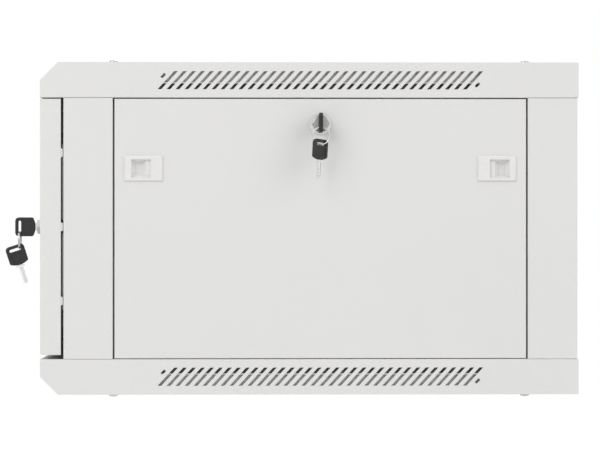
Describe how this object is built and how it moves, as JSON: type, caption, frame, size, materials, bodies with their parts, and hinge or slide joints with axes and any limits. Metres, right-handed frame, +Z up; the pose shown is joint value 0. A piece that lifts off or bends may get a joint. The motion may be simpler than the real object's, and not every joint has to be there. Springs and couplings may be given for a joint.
{
  "type": "wall mount network cabinet",
  "caption": "Light grey 6U 19-inch wall mount network cabinet, 600 x 600 x 370 mm, with glass front door, removable side panels, cam locks with keys and slide latches.",
  "frame": {"origin": "centre of the rectangle of four wall fixing holes, on the rear face of the back panel", "axes": "+Z up, +Y into the wall, -Y towards the door, +X the cabinet's right side seen from the front"},
  "size_m": [0.6422, 0.6419, 0.3768],
  "materials": {
    "grey_paint": "fine textured light grey powder coat, satin",
    "zinc_plated_steel": "bright zinc plating, satin",
    "bright_steel": "nickel plated, polished",
    "chromed_zinc": "polished chrome",
    "black_plastic": "moulded, satin",
    "white_plastic": "moulded, semi-gloss",
    "safety_glass": "clear tempered",
    "black_tape": "foam bonding tape"
  },
  "bodies": {
    "cabinet": {"top_cover": "grey_paint", "bottom_cover": "grey_paint", "back_panel": "grey_paint", "right_front_column": "grey_paint", "right_rear_column": "grey_paint", "right_side_rails": "grey_paint", "right_front_rack_rail": "zinc_plated_steel", "right_rear_rack_rail": "zinc_plated_steel", "right_upper_rail_support": "grey_paint", "right_lower_rail_support": "grey_paint", "left_front_column": "grey_paint", "left_rear_column": "grey_paint", "left_side_rails": "grey_paint", "left_front_rack_rail": "zinc_plated_steel", "left_rear_rack_rail": "zinc_plated_steel", "left_upper_rail_support": "grey_paint", "left_lower_rail_support": "grey_paint", "top_cable_cover": "grey_paint", "bottom_cable_cover": "grey_paint", "cover_bolts": "zinc_plated_steel", "back_panel_screws": "zinc_plated_steel", "rail_bolts": "zinc_plated_steel", "earth_stud": "zinc_plated_steel"},
    "door": {"door_frame": "grey_paint", "door_glass": "safety_glass", "glass_gasket": "black_tape", "door_buffers": "white_plastic", "door_lock_body": "chromed_zinc", "door_lock_nut": "chromed_zinc"},
    "upper_pin": {"upper_hinge_pin": "chromed_zinc"},
    "lower_pin": {"lower_hinge_pin": "chromed_zinc"},
    "door_key": {"door_lock_plug": "chromed_zinc", "door_lock_cam": "chromed_zinc", "door_key_blade": "bright_steel", "door_key_bow": "black_plastic"},
    "door_ring": {"door_key_ring": "bright_steel"},
    "door_spare": {"door_spare_blade": "bright_steel", "door_spare_bow": "black_plastic"},
    "right_panel": {"right_side_panel": "grey_paint", "right_lock_body": "chromed_zinc", "right_lock_nut": "chromed_zinc", "right_latch_bezels": "white_plastic"},
    "right_key": {"right_lock_plug": "chromed_zinc", "right_lock_cam": "chromed_zinc", "right_key_blade": "bright_steel", "right_key_bow": "black_plastic"},
    "right_ring": {"right_key_ring": "bright_steel"},
    "right_spare": {"right_spare_blade": "bright_steel", "right_spare_bow": "black_plastic"},
    "right_front_latch": {"right_front_slider": "white_plastic"},
    "right_rear_latch": {"right_rear_slider": "white_plastic"},
    "left_panel": {"left_side_panel": "grey_paint", "left_lock_body": "chromed_zinc", "left_lock_nut": "chromed_zinc", "left_latch_bezels": "white_plastic"},
    "left_plug": {"left_lock_plug": "chromed_zinc", "left_lock_cam": "chromed_zinc"},
    "left_front_latch": {"left_front_slider": "white_plastic"},
    "left_rear_latch": {"left_rear_slider": "white_plastic"}
  },
  "joints": [
    {"name": "door_hinge", "type": "hinge", "parent": "cabinet", "child": "door", "pos_m": [-0.293, -0.5935, 0.00175], "axis": [0, 0, -1], "range_deg": [0, 180]},
    {"name": "upper_pin_pull", "type": "slide", "parent": "door", "child": "upper_pin", "axis": [0, 0, -1], "range_m": [0, 0.008], "stiffness_N_per_m": 150, "springref_m": -0.004},
    {"name": "lower_pin_pull", "type": "slide", "parent": "door", "child": "lower_pin", "axis": [0, 0, 1], "range_m": [0, 0.008], "stiffness_N_per_m": 150, "springref_m": -0.004},
    {"name": "door_lock_turn", "type": "hinge", "parent": "door", "child": "door_key", "pos_m": [0.266, -0.6, 0.00175], "axis": [0, -1, 0], "range_deg": [0, 90]},
    {"name": "door_ring_swing", "type": "hinge", "parent": "door_key", "child": "door_ring", "pos_m": [0.266, -0.62605, -0.0071], "axis": [0, -1, 0], "range_deg": [-90, 0]},
    {"name": "door_spare_swing", "type": "hinge", "parent": "door_ring", "child": "door_spare", "pos_m": [0.266, -0.62605, -0.0225], "axis": [1, 0, 0], "range_deg": [-30, 15]},
    {"name": "right_panel_tilt", "type": "hinge", "parent": "cabinet", "child": "right_panel", "pos_m": [0.3, -0.28792, -0.1447], "axis": [0, 1, 0], "range_deg": [0, 35]},
    {"name": "right_lock_turn", "type": "hinge", "parent": "right_panel", "child": "right_key", "pos_m": [0.3, -0.28792, 0.1168], "axis": [1, 0, 0], "range_deg": [0, 90]},
    {"name": "right_ring_swing", "type": "hinge", "parent": "right_key", "child": "right_ring", "pos_m": [0.32605, -0.28792, 0.10795], "axis": [1, 0, 0], "range_deg": [-90, 0]},
    {"name": "right_spare_swing", "type": "hinge", "parent": "right_ring", "child": "right_spare", "pos_m": [0.32605, -0.28792, 0.09255], "axis": [0, 1, 0], "range_deg": [-15, 15]},
    {"name": "right_front_latch_slide", "type": "slide", "parent": "right_panel", "child": "right_front_latch", "axis": [0, -1, 0], "range_m": [0, 0.0045]},
    {"name": "right_rear_latch_slide", "type": "slide", "parent": "right_panel", "child": "right_rear_latch", "axis": [0, 1, 0], "range_m": [0, 0.0045]},
    {"name": "left_panel_tilt", "type": "hinge", "parent": "cabinet", "child": "left_panel", "pos_m": [-0.3, -0.28792, -0.1447], "axis": [0, -1, 0], "range_deg": [0, 35]},
    {"name": "left_lock_turn", "type": "hinge", "parent": "left_panel", "child": "left_plug", "pos_m": [-0.3, -0.28792, 0.1168], "axis": [-1, 0, 0], "range_deg": [0, 90]},
    {"name": "left_front_latch_slide", "type": "slide", "parent": "left_panel", "child": "left_front_latch", "axis": [0, -1, 0], "range_m": [0, 0.0045]},
    {"name": "left_rear_latch_slide", "type": "slide", "parent": "left_panel", "child": "left_rear_latch", "axis": [0, 1, 0], "range_m": [0, 0.0045]}
  ],
  "couplings": [
    {"joint": "door_ring_swing", "follows": "door_lock_turn", "ratio": -1},
    {"joint": "right_ring_swing", "follows": "right_lock_turn", "ratio": -1}
  ]
}
